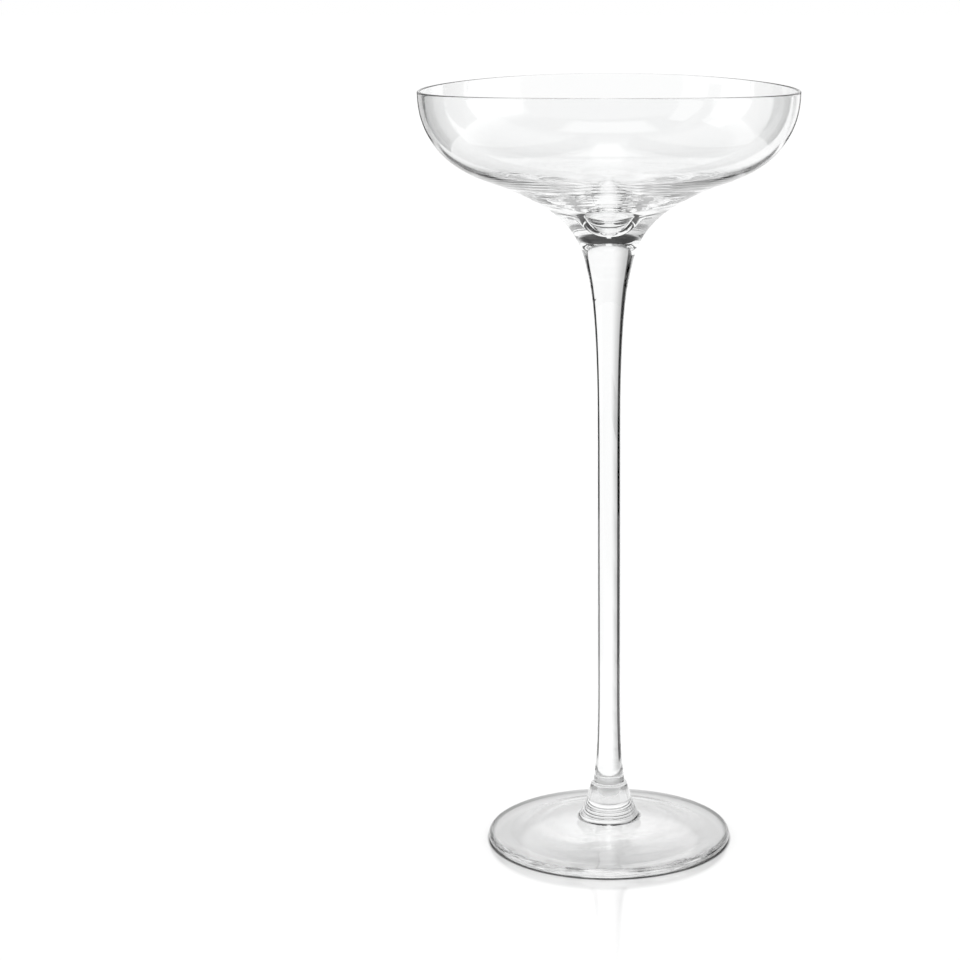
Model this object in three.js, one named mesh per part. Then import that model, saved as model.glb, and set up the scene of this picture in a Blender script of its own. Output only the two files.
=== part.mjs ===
import * as THREE from 'three';

// Champagne saucer: a blown bowl, a drawn stem and a round foot, welded together hot.
// Sizes are in millimetres and degrees. The glass stands on z = 0 and its axis is the z axis.

const overallHeight = 217;

// Bowl: its lip and wall, the shoulder where the wall turns in, and the solid throat under it.
const rimDiameter = 105;
const wallThickness = 0.8;
const shoulderDepth = 27;
const shoulderDiameter = 61;
const shoulderSlope = 22.5;
const shoulderThickness = 1.8;
const throatLength = 22.7;

// Floor of the bowl: it falls gently inwards to the round well that the stem draws down in its middle.
const floorEdgeSlope = 7.5;
const floorFall = 4;
const wellDiameter = 13;
const wellDepth = 8;
const wellLean = 25;

// Welds: the flat faces where the stem meets the bowl and the foot.
const bowlWeldDiameter = 12.8;
const bowlWeldLean = 11.6;
const footWeldDiameter = 12.7;
const footWeldLean = 18;

// Stem: slim in the middle, swelling to a weld at each end.
const stemDiameter = 6.4;
const stemTaperLength = 50;
const stemFlareLength = 35;

// Foot: a disc with a round edge, a low hub and a shallow hollow below.
const footDiameter = 70;
const footEdgeThickness = 2.6;
const footRise = 3.9;
const footSlope = 7.6;
const footEdgeSlope = 3;
const hubDiameter = 18.8;
const hubHeight = 6;
const restingRingWidth = 5;
const hollowHeight = 3.2;
const hollowEdgeSlope = 9;

// Fullness of each curve: how far its upper and lower end hold their lean, as a share of its reach.
const sideFullness = { top: 0.62, bottom: 0.13 };
const throatFullness = { top: 0.46, bottom: 0.36 };
const floorFullness = { top: 0.6, bottom: 0.2 };
const wellFullness = { top: 0.43, bottom: 0.35 };
const taperFullness = { top: 0.1, bottom: 0.78 };
const flareFullness = { top: 0.38, bottom: 0.23 };
const hubFullness = { top: 0.1, bottom: 0.2 };
const discFullness = { top: 0.33, bottom: 0.33 };
const hollowFullness = { top: 0.4, bottom: 0.3 };

// How late the bowl's wall thickens on its way down to the shoulder.
const thickeningPower = 4;

// Facets: sides round the axis, and steps along each stretch of an outline.
const sides = 60;
const longSteps = 14;
const midSteps = 10;
const shortSteps = 6;

// Heights above the table that follow from the sizes.
const shoulderHeight = overallHeight - shoulderDepth;
const brinkHeight = shoulderHeight - floorFall;
const bowlWeldHeight = shoulderHeight - throatLength;
const hubRunOutHeight = footEdgeThickness + footRise;
const footWeldHeight = hubRunOutHeight + hubHeight;

// Points of an outline are (radius, height).
function point(radius, height) {
  return new THREE.Vector2(radius, height);
}

// The way an outline runs when it leans out from straight down by the given angle.
// At a right angle it runs level, outwards, and at minus a right angle level, inwards.
const level = 90;
function runningDown(lean) {
  const angle = THREE.MathUtils.degToRad(lean);
  return new THREE.Vector2(Math.sin(angle), -Math.cos(angle));
}

// A smooth stretch of outline from a higher point to a lower one, with its lean set at both ends.
function stretch(top, topLean, bottom, bottomLean, fullness) {
  const reach = top.distanceTo(bottom);
  const topHandle = top.clone().addScaledVector(runningDown(topLean), fullness.top * reach);
  const bottomHandle = bottom.clone().addScaledVector(runningDown(bottomLean), -fullness.bottom * reach);
  return new THREE.CubicBezierCurve(top, topHandle, bottomHandle, bottom);
}

// A half round of an outline, counter-clockwise from startAngle.
function halfRound(centre, radius, startAngle) {
  const start = THREE.MathUtils.degToRad(startAngle);
  return new THREE.EllipseCurve(centre.x, centre.y, radius, radius, start, start + Math.PI);
}

// One solid of revolution. The outline runs from the axis round the glass and back to the axis.
function turned(name, outline) {
  const geometry = new THREE.LatheGeometry(outline, sides);
  geometry.rotateX(Math.PI / 2);
  const clearGlass = new THREE.MeshStandardMaterial({
    color: 0xf4f7f7,
    roughness: 0.03,
    metalness: 0,
    transparent: true,
    opacity: 0.35,
  });
  const mesh = new THREE.Mesh(geometry, clearGlass);
  mesh.name = name;
  return mesh;
}

// The bowl's outside falls almost straight from the lip, turns in to the shoulder and narrows to the weld.
// Its inside is the outside set back by the glass, which is even at the lip and thickens to the shoulder.
// From there the floor falls to the brink of the well, and the well runs down into the throat.
function makeBowl() {
  const lipRadius = wallThickness / 2;
  const rim = point(rimDiameter / 2, overallHeight - lipRadius);
  const shoulder = point(shoulderDiameter / 2, shoulderHeight);
  const weld = point(bowlWeldDiameter / 2, bowlWeldHeight);
  const shoulderLean = shoulderSlope - level;
  const side = stretch(rim, 0, shoulder, shoulderLean, sideFullness);
  const throat = stretch(shoulder, shoulderLean, weld, -bowlWeldLean, throatFullness);
  const lip = halfRound(point(rim.x - lipRadius, rim.y), lipRadius, 0);

  const inside = [];
  for (let step = 1; step <= longSteps; step += 1) {
    const along = step / longSteps;
    const tangent = side.getTangent(along);
    const inward = new THREE.Vector2(tangent.y, -tangent.x);
    const glass = THREE.MathUtils.lerp(wallThickness, shoulderThickness, along ** thickeningPower);
    inside.push(side.getPoint(along).addScaledVector(inward, glass));
  }
  const floorEdge = inside[inside.length - 1];
  const brink = point(wellDiameter / 2, brinkHeight);
  const wellBottom = point(0, brinkHeight - wellDepth);
  const floor = stretch(floorEdge, floorEdgeSlope - level, brink, -wellLean, floorFullness);
  const well = stretch(brink, -wellLean, wellBottom, -level, wellFullness);

  return turned('bowl', [
    point(0, bowlWeldHeight),
    ...throat.getPoints(midSteps).reverse(),
    ...side.getPoints(longSteps).reverse().slice(1),
    ...lip.getPoints(shortSteps).slice(1),
    ...inside,
    ...floor.getPoints(midSteps).slice(1),
    ...well.getPoints(shortSteps).slice(1),
  ]);
}

// The stem is one solid rod, cut square at both welds.
function makeStem() {
  const topWeld = point(bowlWeldDiameter / 2, bowlWeldHeight);
  const slimTop = point(stemDiameter / 2, bowlWeldHeight - stemTaperLength);
  const slimBottom = point(stemDiameter / 2, footWeldHeight + stemFlareLength);
  const bottomWeld = point(footWeldDiameter / 2, footWeldHeight);
  const taper = stretch(topWeld, -bowlWeldLean, slimTop, 0, taperFullness);
  const flare = stretch(slimBottom, 0, bottomWeld, footWeldLean, flareFullness);

  return turned('stem', [
    point(0, footWeldHeight),
    ...flare.getPoints(midSteps).reverse(),
    ...taper.getPoints(longSteps).reverse(),
    point(0, bowlWeldHeight),
  ]);
}

// The foot's hub runs out into a gently falling disc, which stands on a flat ring inside its round edge.
function makeFoot() {
  const edgeRadius = footEdgeThickness / 2;
  const edgeCentre = point(footDiameter / 2 - edgeRadius, edgeRadius);
  const weld = point(footWeldDiameter / 2, footWeldHeight);
  const runOut = point(hubDiameter / 2, hubRunOutHeight);
  const edgeTop = point(edgeCentre.x, footEdgeThickness);
  const ringInside = point(edgeCentre.x - restingRingWidth, 0);
  const hub = stretch(weld, footWeldLean, runOut, level - footSlope, hubFullness);
  const disc = stretch(runOut, level - footSlope, edgeTop, level - footEdgeSlope, discFullness);
  const edge = halfRound(edgeCentre, edgeRadius, -level);
  const hollow = stretch(point(0, hollowHeight), level, ringInside, level - hollowEdgeSlope, hollowFullness);

  return turned('foot', [
    ...hollow.getPoints(shortSteps),
    ...edge.getPoints(shortSteps),
    ...disc.getPoints(shortSteps).reverse().slice(1),
    ...hub.getPoints(midSteps).reverse().slice(1),
    point(0, footWeldHeight),
  ]);
}

const champagneSaucer = new THREE.Group();
champagneSaucer.add(makeBowl());
champagneSaucer.add(makeStem());
champagneSaucer.add(makeFoot());

export default champagneSaucer;
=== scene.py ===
import math

import bpy
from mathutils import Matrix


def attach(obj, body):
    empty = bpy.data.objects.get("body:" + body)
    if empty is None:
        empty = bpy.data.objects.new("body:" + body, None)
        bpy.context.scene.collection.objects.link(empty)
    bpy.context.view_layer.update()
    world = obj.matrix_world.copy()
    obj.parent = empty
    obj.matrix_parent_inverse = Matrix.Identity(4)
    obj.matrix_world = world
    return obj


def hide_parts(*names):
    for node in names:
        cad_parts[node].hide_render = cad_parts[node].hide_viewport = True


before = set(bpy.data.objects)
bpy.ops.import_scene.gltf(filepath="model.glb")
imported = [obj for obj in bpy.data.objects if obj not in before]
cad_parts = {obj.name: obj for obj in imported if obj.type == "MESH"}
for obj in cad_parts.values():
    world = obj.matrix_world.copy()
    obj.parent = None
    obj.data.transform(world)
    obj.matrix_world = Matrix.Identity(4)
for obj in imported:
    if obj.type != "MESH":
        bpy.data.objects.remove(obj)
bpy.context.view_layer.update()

# Foot: a disc of clear glass, spun out flat while hot, with a low hub that takes the stem.
# Its edge is rounded by the flame, and a hollow underneath leaves a flat ring to stand on.
# Sizes of the glass are in millimetres and degrees, and become metres in the mesh.
FOOT_RADIUS = 35.0
FOOT_EDGE = 2.6
FOOT_RISE = 3.9
FOOT_SLOPE = 7.6
FOOT_EDGE_SLOPE = 3.0
HUB_RADIUS = 9.4
HUB_HEIGHT = 6.0
RESTING_RING = 5.0
HOLLOW = 3.2
HOLLOW_EDGE_SLOPE = 9.0
FOOT_WELD_RADIUS = 6.35
FOOT_WELD_LEAN = 18.0
FOOT_WELD_HEIGHT = FOOT_EDGE + FOOT_RISE + HUB_HEIGHT
LEVEL = 90.0
HALF_TURN = 180
MM_IN_METRE = 1000
SAME_POINT = 1e-4
SIDES = 192

# Ripples that the spinning leaves: their height, how far they stay from the hub, and their pitch.
# A wander bends them off true rings, by waves that each have a size, a count and a start.
FOOT_RIPPLE = 0.05
RIPPLE_MARGIN = 1
COARSE_PITCH = 1.35
FINE_PITCH = 0.8
FINE_SHARE = 0.6
FINE_WANDER = 1.7
FOOT_WANDER = ((1.1, 2, 0.6), (0.7, 3, 2.1))

# Finish of the glass: a faint cloud in its tint and in its fire polish.
GLASS_IOR = 1.52
GLASS_TINT = (0.985, 0.992, 0.992, 1)
CLEAREST = (1, 1, 1, 1)
CLOUD_SCALE = 60.0
CLOUD_DETAIL = 2.0
DULLEST_POLISH = 0.004


def lean_down(lean):
    """The way a line runs when it leans out from straight down by the given angle."""
    angle = math.radians(lean)
    return math.sin(angle), -math.cos(angle)


def sweep(top, top_lean, bottom, bottom_lean, fullness, steps):
    """A smooth line from a higher point to a lower one that leaves and arrives at the given leans."""
    reach = math.dist(top, bottom)
    leave, arrive = lean_down(top_lean), lean_down(bottom_lean)
    points = []
    for step in range(steps + 1):
        t = step / steps
        points.append(tuple(
            (1 - t) ** 3 * top[k]
            + 3 * (1 - t) ** 2 * t * (top[k] + leave[k] * fullness[0] * reach)
            + 3 * (1 - t) * t * t * (bottom[k] - arrive[k] * fullness[1] * reach)
            + t ** 3 * bottom[k]
            for k in (0, 1)))
    return points


def half_round(centre, radius, start, steps):
    """Half of a circle, counter-clockwise from the start angle."""
    points = []
    for step in range(steps + 1):
        angle = math.radians(start + HALF_TURN * step / steps)
        points.append((centre[0] + radius * math.cos(angle), centre[1] + radius * math.sin(angle)))
    return points


def joined(*lines):
    """One outline from lines that follow each other, without the points that they share."""
    outline = []
    for line in lines:
        for point in line:
            if not outline or math.dist(point, outline[-1]) > SAME_POINT:
                outline.append(point)
    return outline


def turned(name, outline, glass, weld, first_weld=None, last_weld=None, lift=None):
    """A closed body of glass turned from an outline that starts and ends on the axis.
    A weld's lean makes that end a fused face, and carries the wall's shading across the seam.
    The lift, where there is one, moves each point up by a little, as hot glass settles unevenly."""
    rings = outline[1:-1]
    spots = []
    for ring, (radius, height) in enumerate(rings):
        for side in range(SIDES):
            angle = 2 * math.pi * side / SIDES
            rise = lift(ring, radius, height, angle) if lift else 0
            spot = (radius * math.cos(angle), radius * math.sin(angle), height + rise)
            spots.append(tuple(place / MM_IN_METRE for place in spot))
    first_tip, last_tip = len(spots), len(spots) + 1
    spots.append((0, 0, outline[0][1] / MM_IN_METRE))
    spots.append((0, 0, outline[-1][1] / MM_IN_METRE))
    faces = []
    top_ring = (len(rings) - 1) * SIDES
    for side in range(SIDES):
        after = (side + 1) % SIDES
        faces.append((after, side, first_tip))
        faces.append((top_ring + side, top_ring + after, last_tip))
        for ring in range(0, top_ring, SIDES):
            faces.append((ring + side, ring + after, ring + SIDES + after, ring + SIDES + side))
    mesh = bpy.data.meshes.new(name)
    mesh.from_pydata(spots, [], faces)
    mesh.materials.append(glass)
    mesh.materials.append(weld)
    for face in mesh.polygons:
        face.use_smooth = True
        at_first = first_weld is not None and first_tip in face.vertices
        at_last = last_weld is not None and last_tip in face.vertices
        face.material_index = 1 if at_first or at_last else 0
    normals = [tuple(vertex.normal) for vertex in mesh.vertices]
    for lean, ring in ((first_weld, 0), (last_weld, top_ring)):
        if lean is None:
            continue
        down = lean_down(lean)
        for side in range(SIDES):
            angle = 2 * math.pi * side / SIDES
            normals[ring + side] = (-down[1] * math.cos(angle), -down[1] * math.sin(angle), down[0])
    mesh.normals_split_custom_set_from_vertices(normals)
    piece = bpy.data.objects.new(name, mesh)
    bpy.context.scene.collection.objects.link(piece)
    return piece


def clear_glass(name):
    """Polished soda glass, with the faint unevenness that a fire polish leaves."""
    material = bpy.data.materials.new(name)
    material.use_nodes = True
    nodes, links = material.node_tree.nodes, material.node_tree.links
    glass = nodes["Principled BSDF"]
    glass.inputs["Transmission Weight"].default_value = 1.0
    glass.inputs["IOR"].default_value = GLASS_IOR
    where = nodes.new("ShaderNodeTexCoord")
    cloud = nodes.new("ShaderNodeTexNoise")
    cloud.inputs["Scale"].default_value = CLOUD_SCALE
    cloud.inputs["Detail"].default_value = CLOUD_DETAIL
    links.new(where.outputs["Object"], cloud.inputs["Vector"])
    tint = nodes.new("ShaderNodeMix")
    tint.data_type = "RGBA"
    tint.inputs["A"].default_value = GLASS_TINT
    tint.inputs["B"].default_value = CLEAREST
    links.new(cloud.outputs["Fac"], tint.inputs["Factor"])
    links.new(tint.outputs["Result"], glass.inputs["Base Color"])
    polish = nodes.new("ShaderNodeMapRange")
    polish.inputs["To Min"].default_value = 0.0
    polish.inputs["To Max"].default_value = DULLEST_POLISH
    links.new(cloud.outputs["Fac"], polish.inputs["Value"])
    links.new(polish.outputs["Result"], glass.inputs["Roughness"])
    return material


# Glass that is fused has no surface at the weld, so a weld's face lets all light straight through.
fused_weld = bpy.data.materials.new("fused_weld")
fused_weld.use_nodes = True
fused_nodes = fused_weld.node_tree.nodes
fused_nodes.remove(fused_nodes["Principled BSDF"])
fused = fused_nodes.new("ShaderNodeBsdfTransparent")
fused_weld.node_tree.links.new(fused.outputs[0], fused_nodes["Material Output"].inputs["Surface"])

edge_radius = FOOT_EDGE / 2
edge_centre = (FOOT_RADIUS - edge_radius, edge_radius)
hub_run_out = (HUB_RADIUS, FOOT_EDGE + FOOT_RISE)
foot_weld = (FOOT_WELD_RADIUS, FOOT_WELD_HEIGHT)
ring_inside = (edge_centre[0] - RESTING_RING, 0)
edge_top = (edge_centre[0], FOOT_EDGE)
hollow = sweep((0, HOLLOW), LEVEL, ring_inside, LEVEL - HOLLOW_EDGE_SLOPE, fullness=(0.4, 0.3), steps=40)
edge = half_round(edge_centre, edge_radius, -LEVEL, steps=24)
disc_lean = LEVEL - FOOT_SLOPE
disc = sweep(hub_run_out, disc_lean, edge_top, LEVEL - FOOT_EDGE_SLOPE, fullness=(0.33, 0.33), steps=60)
hub = sweep(foot_weld, FOOT_WELD_LEAN, hub_run_out, disc_lean, fullness=(0.1, 0.2), steps=60)


def wandering(waves, angle):
    return sum(size * math.sin(count * angle + start) for size, count, start in waves)


def spun_ripples(ring, radius, height, angle):
    """Faint rings that the spinning leaves on the top of the disc, dying out at the hub and the edge."""
    if ring <= len(hollow) + len(edge) or radius < HUB_RADIUS + RIPPLE_MARGIN:
        return 0
    span = edge_centre[0] - HUB_RADIUS - RIPPLE_MARGIN
    middle = math.sin(math.pi * (radius - HUB_RADIUS - RIPPLE_MARGIN) / span) ** 2
    wander = wandering(FOOT_WANDER, angle)
    coarse = math.sin(radius / COARSE_PITCH + wander)
    fine = FINE_SHARE * math.sin(radius / FINE_PITCH - FINE_WANDER * wander)
    return FOOT_RIPPLE * middle * (coarse + fine)


foot_outline = joined(hollow, edge, disc[::-1], hub[::-1], [(0, FOOT_WELD_HEIGHT)])
foot = turned("foot_disc", foot_outline, clear_glass("foot_glass"), fused_weld,
              last_weld=FOOT_WELD_LEAN, lift=spun_ripples)
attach(foot, "root")
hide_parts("foot")

# Stem: a solid rod of the same glass, drawn slim while hot, and welded to the foot and the bowl.
# It swells to the foot's hub below and to the bowl's throat above.
# Pressing it on the hub has left a small ledge a little above the weld.
STEM_RADIUS = 3.2
STEM_TAPER = 50.0
STEM_FLARE = 35.0
NECK_RADIUS = 4.45
NECK_LEAN = 7
LEDGE_RADIUS = 5.25
LEDGE_HEIGHT = 16.3
LEDGE_STEP = 0.9
LEDGE_SLOPE = 65
LEDGE_LEAN = 12
BOWL_WELD_RADIUS = 6.4
BOWL_WELD_LEAN = 11.6
BOWL_WELD_HEIGHT = 167.3
SHANK_STEPS = 40

bowl_weld = (BOWL_WELD_RADIUS, BOWL_WELD_HEIGHT)
slim_top = (STEM_RADIUS, BOWL_WELD_HEIGHT - STEM_TAPER)
slim_bottom = (STEM_RADIUS, FOOT_WELD_HEIGHT + STEM_FLARE)
shank_drop = slim_bottom[1] - slim_top[1]
neck = (NECK_RADIUS, LEDGE_HEIGHT + LEDGE_STEP)
ledge = (LEDGE_RADIUS, LEDGE_HEIGHT)
ledge_middle = ((neck[0] + ledge[0]) / 2, (neck[1] + ledge[1]) / 2)
taper = sweep(bowl_weld, -BOWL_WELD_LEAN, slim_top, 0, fullness=(0.1, 0.78), steps=120)
shank = [(STEM_RADIUS, slim_top[1] + shank_drop * step / SHANK_STEPS) for step in range(SHANK_STEPS + 1)]
flare = joined(
    sweep(slim_bottom, 0, neck, NECK_LEAN, fullness=(0.4, 0.3), steps=70),
    sweep(neck, NECK_LEAN, ledge_middle, LEDGE_SLOPE, fullness=(0.4, 0.4), steps=8),
    sweep(ledge_middle, LEDGE_SLOPE, ledge, LEDGE_LEAN, fullness=(0.4, 0.4), steps=8),
    sweep(ledge, LEDGE_LEAN, foot_weld, FOOT_WELD_LEAN, fullness=(0.33, 0.33), steps=20))
stem_outline = joined([(0, FOOT_WELD_HEIGHT)], flare[::-1], shank[::-1], taper[::-1], [(0, BOWL_WELD_HEIGHT)])
stem = turned("stem_rod", stem_outline, clear_glass("stem_glass"), fused_weld,
              first_weld=FOOT_WELD_LEAN, last_weld=-BOWL_WELD_LEAN)
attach(stem, "root")
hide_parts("stem")

# Bowl: a shallow saucer blown from one gather, thin at the fire-polished lip and thicker at the shoulder.
# Its base narrows through a solid throat to the weld with the stem.
# Drawing the stem down has left a round well in the middle of the bowl's floor.
RIM_RADIUS = 52.5
RIM_HEIGHT = 217.0
WALL = 0.8
SHOULDER_RADIUS = 30.5
SHOULDER_HEIGHT = 190.0
SHOULDER_SLOPE = 22.5
SHOULDER_GLASS = 1.8
THICKENING_POWER = 4
FLOOR_EDGE_SLOPE = 7.5
WELL_RADIUS = 6.5
WELL_BRINK = 186.0
WELL_LEAN = 25.0
WELL_DEPTH = 8.0
SIDE_STEPS = 110

# The lip dips at two sides, and blowing rings lie on the floor, fading in from the well's brink.
RIM_DIP = 1.4
FLOOR_RIPPLE = 0.02
FLOOR_PITCH = 0.55
FLOOR_MARGIN = 1
FLOOR_FADE = 4
FLOOR_WANDER = ((1.3, 2, 0.4), (0.9, 5, 0.0))

lip_radius = WALL / 2
rim = (RIM_RADIUS, RIM_HEIGHT - lip_radius)
shoulder = (SHOULDER_RADIUS, SHOULDER_HEIGHT)
shoulder_lean = SHOULDER_SLOPE - LEVEL
side = sweep(rim, 0, shoulder, shoulder_lean, fullness=(0.62, 0.13), steps=SIDE_STEPS)
throat = sweep(shoulder, shoulder_lean, bowl_weld, -BOWL_WELD_LEAN, fullness=(0.46, 0.36), steps=80)
lip = half_round((rim[0] - lip_radius, rim[1]), lip_radius, 0, steps=16)
inside = []
for step in range(1, SIDE_STEPS + 1):
    before, after = side[step - 1], side[min(step + 1, SIDE_STEPS)]
    span = math.dist(before, after)
    inward = ((after[1] - before[1]) / span, (before[0] - after[0]) / span)
    glass = WALL + (SHOULDER_GLASS - WALL) * (step / SIDE_STEPS) ** THICKENING_POWER
    inside.append((side[step][0] + inward[0] * glass, side[step][1] + inward[1] * glass))
brink = (WELL_RADIUS, WELL_BRINK)
well_bottom = (0, WELL_BRINK - WELL_DEPTH)
bowl_floor = sweep(inside[-1], FLOOR_EDGE_SLOPE - LEVEL, brink, -WELL_LEAN, fullness=(0.6, 0.2), steps=80)
well = sweep(brink, -WELL_LEAN, well_bottom, -LEVEL, fullness=(0.43, 0.35), steps=50)


def settled(ring, radius, height, angle):
    """How the hot bowl has settled: the dip of its lip, and the rings on its floor."""
    high = max(0, (height - SHOULDER_HEIGHT) / (RIM_HEIGHT - SHOULDER_HEIGHT))
    dip = RIM_DIP * high ** 2 * (1 + math.cos(2 * angle)) / 2
    if ring <= len(throat) + len(side) + len(lip) + len(inside):
        return -dip
    spread = min(1, max(0, (radius - WELL_RADIUS - FLOOR_MARGIN) / FLOOR_FADE))
    ripple = FLOOR_RIPPLE * spread * math.sin(radius / FLOOR_PITCH + wandering(FLOOR_WANDER, angle))
    return ripple - dip


bowl_outline = joined([(0, BOWL_WELD_HEIGHT)], throat[::-1], side[::-1], lip, inside, bowl_floor, well)
bowl = turned("bowl_saucer", bowl_outline, clear_glass("bowl_glass"), fused_weld,
              first_weld=-BOWL_WELD_LEAN, lift=settled)
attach(bowl, "root")
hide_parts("bowl")

# Table: a wide sheet of white acrylic that glows as if lit from below, with a painted light that shines
# softly round the glass standing on it.
# It lies a hair under the foot, and carries the foot's painted shade and shadow in the greys of its paint and
# glow.
TABLE_REACH = 6.0
TABLE_DROP = 0.00005
TABLE_ROUGHNESS = 0.12
TABLE_IOR = 2.5
PAINT_TO_GLOW = 1.36

# Greys on the table, each as a distance in millimetres from a centre and the grey there. All but the gloss
# are painted light and shade.
# The rings are a painted light under the hub and a painted contact shadow, black at the foot's edge, close to
# where the glass meets the table.
# The painted shadow lies under the foot and just in front of it, and a painted light from behind lifts the
# rings there.
GREY_REACH = 100
PAINTED_HUB_LIGHT_AND_CONTACT_SHADOW = ((8, 0.65), (15, 0.5), (22, 0.46), (30, 0.43), (33, 0.34), (33.75, 0.03), (34.75, 0.0),
                 (35.5, 0.39), (60, 0.42), (100, 0.44))
SHADE_CENTRE = -9
FRONT_SHADE = ((20, 0.7), (26, 0.33), (32.5, 0.33), (37, 0.5))
LIGHT_CENTRE = 45
BACK_LIGHT = ((10, 0.36), (55, 0.0))
GLOSS = ((34, 0.11), (36, 0.5), (60, 0.5), (100, 0.0))

table_mesh = bpy.data.meshes.new("table")
table_corners = [(-TABLE_REACH, -TABLE_REACH, 0), (TABLE_REACH, -TABLE_REACH, 0),
                 (TABLE_REACH, TABLE_REACH, 0), (-TABLE_REACH, TABLE_REACH, 0)]
table_mesh.from_pydata(table_corners, [], [(0, 1, 2, 3)])
table = bpy.data.objects.new("table", table_mesh)
table.location.z = -TABLE_DROP
bpy.context.scene.collection.objects.link(table)
acrylic = bpy.data.materials.new("white_acrylic")
acrylic.use_nodes = True
acrylic_nodes, acrylic_links = acrylic.node_tree.nodes, acrylic.node_tree.links
sheet = acrylic_nodes["Principled BSDF"]
sheet.inputs["Roughness"].default_value = TABLE_ROUGHNESS
sheet.inputs["IOR"].default_value = TABLE_IOR
sheet.inputs["Emission Color"].default_value = (1, 1, 1, 1)
table_place = acrylic_nodes.new("ShaderNodeTexCoord")


def radial_greys(centre, stops):
    """Greys over the distance from a spot on the table, which lies behind the axis by the given length."""
    away = acrylic_nodes.new("ShaderNodeVectorMath")
    away.operation = "DISTANCE"
    away.inputs[1].default_value = (0, centre / MM_IN_METRE, 0)
    acrylic_links.new(table_place.outputs["Object"], away.inputs[0])
    share = acrylic_nodes.new("ShaderNodeMath")
    share.operation = "MULTIPLY"
    share.inputs[1].default_value = MM_IN_METRE / GREY_REACH
    acrylic_links.new(away.outputs["Value"], share.inputs[0])
    ramp = acrylic_nodes.new("ShaderNodeValToRGB")
    for stop, (distance, grey) in zip(ramp.color_ramp.elements, (stops[0], stops[-1])):
        stop.position = distance / GREY_REACH
        stop.color = (grey, grey, grey, 1)
    for distance, grey in stops[1:-1]:
        stop = ramp.color_ramp.elements.new(distance / GREY_REACH)
        stop.color = (grey, grey, grey, 1)
    acrylic_links.new(share.outputs[0], ramp.inputs["Fac"])
    return ramp.outputs["Color"]


def chosen_grey(operation, first, second):
    """The darker or the lighter of two greys of the table, as the operation says."""
    choice = acrylic_nodes.new("ShaderNodeMath")
    choice.operation = operation
    acrylic_links.new(first, choice.inputs[0])
    acrylic_links.new(second, choice.inputs[1])
    return choice.outputs[0]


# Painted light and shade on the table: the darker of the rings and the front shadow, then the lighter of that
# and the painted light behind.
shaded = chosen_grey("MINIMUM", radial_greys(0, PAINTED_HUB_LIGHT_AND_CONTACT_SHADOW), radial_greys(SHADE_CENTRE, FRONT_SHADE))
painted_light_and_shade = chosen_grey("MAXIMUM", shaded, radial_greys(LIGHT_CENTRE, BACK_LIGHT))
# The paint carries the painted light and shade as well, brighter by the paint's share of the glow.
paint = acrylic_nodes.new("ShaderNodeMath")
paint.operation = "MULTIPLY"
paint.inputs[1].default_value = PAINT_TO_GLOW
acrylic_links.new(painted_light_and_shade, paint.inputs[0])
acrylic_links.new(paint.outputs[0], sheet.inputs["Base Color"])
# The glow carries the same painted light and shade for all but diffuse rays, and is dark to diffuse rays.
light_path = acrylic_nodes.new("ShaderNodeLightPath")
table_glow = acrylic_nodes.new("ShaderNodeMix")
acrylic_links.new(light_path.outputs["Is Diffuse Ray"], table_glow.inputs["Factor"])
acrylic_links.new(painted_light_and_shade, table_glow.inputs["A"])
table_glow.inputs["B"].default_value = 0.0
acrylic_links.new(table_glow.outputs["Result"], sheet.inputs["Emission Strength"])
acrylic_links.new(radial_greys(0, GLOSS), sheet.inputs["Specular IOR Level"])
table_mesh.materials.append(acrylic)

# Camera: at the height, distance and dip below level from which the photograph was taken.
# Its lens is shifted because the glass stands right of the picture's middle.
CAMERA_DISTANCE = 0.7094
CAMERA_HEIGHT = 0.2634
CAMERA_DIP = 12.49

lens = bpy.data.cameras.new("camera")
lens.sensor_width = 36.0
lens.lens = 96.34
lens.shift_x = -0.1344
lens.clip_start = 0.01
camera = bpy.data.objects.new("camera", lens)
camera.location = (0, -CAMERA_DISTANCE, CAMERA_HEIGHT)
camera.rotation_euler = (math.radians(LEVEL - CAMERA_DIP), 0, 0)
bpy.context.scene.collection.objects.link(camera)
bpy.context.scene.camera = camera

# Studio: cards round the glass, which shows only what it bends and mirrors. They light nothing themselves.
# Black flags draw the dark lines where the glass ends, and white panels are its window reflections.
# The cards turn about the glass with the camera, as when a glass is turned in front of a fixed set.
BLACK = 0.0
WHITE = 1.0
CARD_FADE = 0.05
LYING_HEIGHT = 0.0006
LYING_STEPS = 12


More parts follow.
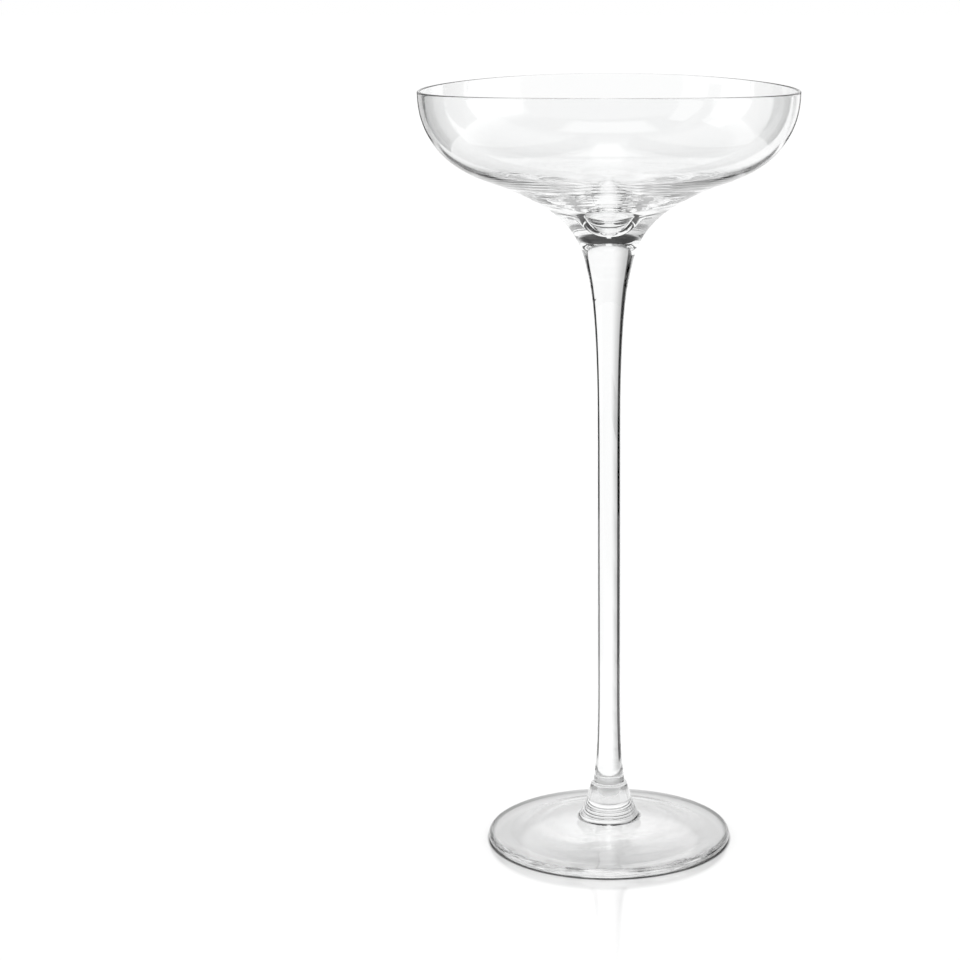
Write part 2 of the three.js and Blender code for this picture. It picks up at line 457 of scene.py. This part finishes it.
def card(name, rows, grey, soft=(0.15, 0.15)):
    """A board with soft edges that the glass reflects and refracts, but that lights nothing.
    Each row holds its two ends, and the board spans from row to row."""
    mesh = bpy.data.meshes.new(name)
    last = len(rows) - 1
    mesh.from_pydata([end for row in rows for end in row], [],
                     [(2 * row, 2 * row + 1, 2 * row + 3, 2 * row + 2) for row in range(last)])
    spread = mesh.uv_layers.new(name="spread")
    for corner in mesh.loops:
        spread.data[corner.index].uv = (corner.vertex_index % 2, corner.vertex_index // 2 / last)
    board = bpy.data.objects.new(name, mesh)
    bpy.context.scene.collection.objects.link(board)
    material = bpy.data.materials.new(name)
    material.use_nodes = True
    nodes, links = material.node_tree.nodes, material.node_tree.links
    nodes.remove(nodes["Principled BSDF"])
    place = nodes.new("ShaderNodeTexCoord")
    split = nodes.new("ShaderNodeSeparateXYZ")
    links.new(place.outputs["UV"], split.inputs[0])
    inset = nodes.new("ShaderNodeMath")
    inset.operation = "MINIMUM"
    for axis in (0, 1):
        fold = nodes.new("ShaderNodeMath")
        fold.operation = "PINGPONG"
        fold.inputs[1].default_value = 0.5
        links.new(split.outputs[axis], fold.inputs[0])
        depth = nodes.new("ShaderNodeMath")
        depth.operation = "DIVIDE"
        depth.inputs[1].default_value = soft[axis]
        links.new(fold.outputs[0], depth.inputs[0])
        links.new(depth.outputs[0], inset.inputs[axis])
    fade = nodes.new("ShaderNodeMapRange")
    fade.interpolation_type = "SMOOTHSTEP"
    links.new(inset.outputs[0], fade.inputs["Value"])
    clear = nodes.new("ShaderNodeBsdfTransparent")
    glow = nodes.new("ShaderNodeEmission")
    glow.inputs["Color"].default_value = (grey, grey, grey, 1)
    blend = nodes.new("ShaderNodeMixShader")
    links.new(fade.outputs["Result"], blend.inputs["Fac"])
    links.new(clear.outputs[0], blend.inputs[1])
    links.new(glow.outputs[0], blend.inputs[2])
    links.new(blend.outputs[0], nodes["Material Output"].inputs["Surface"])
    mesh.materials.append(material)
    board.visible_camera = False
    board.visible_diffuse = False
    board.visible_shadow = False
    turn = board.constraints.new("LOCKED_TRACK")
    turn.target = camera
    turn.track_axis = "TRACK_NEGATIVE_Y"
    turn.lock_axis = "LOCK_Z"
    return board


def around(angle, distance):
    """A spot round the glass. The angle is 0 straight behind it and grows to the right."""
    return distance * math.sin(math.radians(angle)), distance * math.cos(math.radians(angle))


def standing(name, angles, distance, heights, grey, soft=CARD_FADE):
    """A card that stands round the glass between two angles and two heights."""
    first, last = (around(angle, distance) for angle in angles)
    return card(name, [((*first, height), (*last, height)) for height in heights], grey, (soft, CARD_FADE))


def lying(name, angles, near, far, grey, soft=CARD_FADE, height=LYING_HEIGHT):
    """A card that lies on the table between two angles and two distances, in rows that widen outwards.
    Only the glass shows it. The table's gloss doesn't."""
    rows = []
    for step in range(LYING_STEPS + 1):
        distance = near * (far / near) ** (step / LYING_STEPS)
        rows.append([(*around(angle, distance), height) for angle in angles])
    board = card(name, rows, grey, (soft, CARD_FADE))
    board.visible_glossy = False
    return board


def level_board(name, half_widths, depths, height, grey):
    """A level board, given by its half width and its depth behind the glass at its front and back."""
    return card(name, [((-half_width, depth, height), (half_width, depth, height))
                       for half_width, depth in zip(half_widths, depths)], grey)


# Black flags at both sides, and a grey shade behind the left one that leaves the stem darker on one side.
# Each goes on as a card that lies on the table, where the lower stem shows it.
LEFT_FLAG = (-36, -72)
RIGHT_FLAG = (46, 72)
LEFT_SHADE = (-5, -75)
for flag_name, angles, soft in (("flag_left", LEFT_FLAG, 0.06), ("flag_right", RIGHT_FLAG, 0.08)):
    standing(flag_name, angles, distance=0.42, heights=(-0.1, 0.45), grey=BLACK, soft=soft)
    lying("table_" + flag_name, angles, near=0.045, far=0.6, grey=BLACK, soft=soft)
standing("shade_left", LEFT_SHADE, distance=0.7, heights=(-0.2, 0.7), grey=0.5, soft=0.5)
lying("table_shade_left", LEFT_SHADE, near=0.045, far=1.0, grey=0.5, soft=0.5, height=LYING_HEIGHT / 2)

# Low flags round the foot, seen only through the glass.
# Strips close behind the bowl and under it darken its edges.
LOW_FLAG = (72, 170)
EDGE_STRIP_REACHES = (0.059, 0.068)
EDGE_STRIP_HEIGHTS = (0.186, 0.22)
EDGE_STRIP_DEPTH = 0.05
UNDER_STRIP_ROWS = (((0.032, 0.02), (0.05, 0.015)), ((0.078, 0.124), (0.109, 0.11)))
UNDER_STRIP_HEIGHT = 0.16
for hand, hand_name in ((-1, "left"), (1, "right")):
    low_flag = standing("low_flag_" + hand_name, [angle * hand for angle in LOW_FLAG], distance=0.2,
                        heights=(-0.02, 0.1), grey=BLACK, soft=0.1)
    low_flag.visible_glossy = False
    card("edge_strip_" + hand_name,
         [[(reach * hand, EDGE_STRIP_DEPTH, height) for reach in EDGE_STRIP_REACHES]
          for height in EDGE_STRIP_HEIGHTS], BLACK)
    card("under_strip_" + hand_name,
         [[(across * hand, depth, UNDER_STRIP_HEIGHT) for across, depth in row]
          for row in UNDER_STRIP_ROWS], grey=0.05, soft=(0.3, 0.15))

# The dim room behind the camera, and at the left two white panels with a gap between them.
# A soft box hangs above the camera's side, and a narrow light above the far side. The bowl mirrors them all.
level_board("table_front", half_widths=(0.7, 0.7), depths=(-1.1, -0.2), height=0.002, grey=0.4)
standing("room", (-129, -242), distance=0.6, heights=(-0.1, 0.7), grey=0.4)
standing("gap_left", (-100, -112), distance=0.45, heights=(0.2, 1.0), grey=0.3, soft=0.15)
standing("panel_left", (-112, -129), distance=0.4, heights=(0.25, 0.68), grey=WHITE)
standing("panel_side", (-74, -100), distance=0.4, heights=(0.25, 0.6), grey=WHITE)
level_board("soft_box", half_widths=(0.36, 0.36), depths=(-0.5, -0.1), height=1.0, grey=WHITE)
level_board("top_light", half_widths=(0.03, 0.06), depths=(0.1, 0.7), height=0.75, grey=WHITE)

# The surround is white up to the height where it begins to darken, and black overhead.
# Heights are those of a direction, from 0 on the level to 1 straight up.
# Light on plain surfaces is white all round.
DARKENS_FROM = 0.45
BLACK_FROM = 0.75
GLASS_BOUNCES = 40
CLEAR_BOUNCES = 80

world = bpy.data.worlds.new("studio")
world.use_nodes = True
world_nodes, world_links = world.node_tree.nodes, world.node_tree.links
surround = world_nodes["Background"]
direction = world_nodes.new("ShaderNodeTexCoord")
upward = world_nodes.new("ShaderNodeSeparateXYZ")
world_links.new(direction.outputs["Generated"], upward.inputs[0])
falling = world_nodes.new("ShaderNodeMapRange")
falling.interpolation_type = "SMOOTHSTEP"
falling.inputs["From Min"].default_value = DARKENS_FROM
falling.inputs["From Max"].default_value = BLACK_FROM
falling.inputs["To Min"].default_value = WHITE
falling.inputs["To Max"].default_value = BLACK
world_links.new(upward.outputs["Z"], falling.inputs["Value"])
world_path = world_nodes.new("ShaderNodeLightPath")
strength = world_nodes.new("ShaderNodeMix")
world_links.new(world_path.outputs["Is Diffuse Ray"], strength.inputs["Factor"])
world_links.new(falling.outputs["Result"], strength.inputs["A"])
strength.inputs["B"].default_value = WHITE
world_links.new(strength.outputs["Result"], surround.inputs["Strength"])
surround.inputs["Color"].default_value = (1, 1, 1, 1)
scene = bpy.context.scene
scene.world = world
scene.view_settings.view_transform = "Standard"
scene.cycles.max_bounces = GLASS_BOUNCES
scene.cycles.transmission_bounces = GLASS_BOUNCES
scene.cycles.glossy_bounces = GLASS_BOUNCES
scene.cycles.transparent_max_bounces = CLEAR_BOUNCES
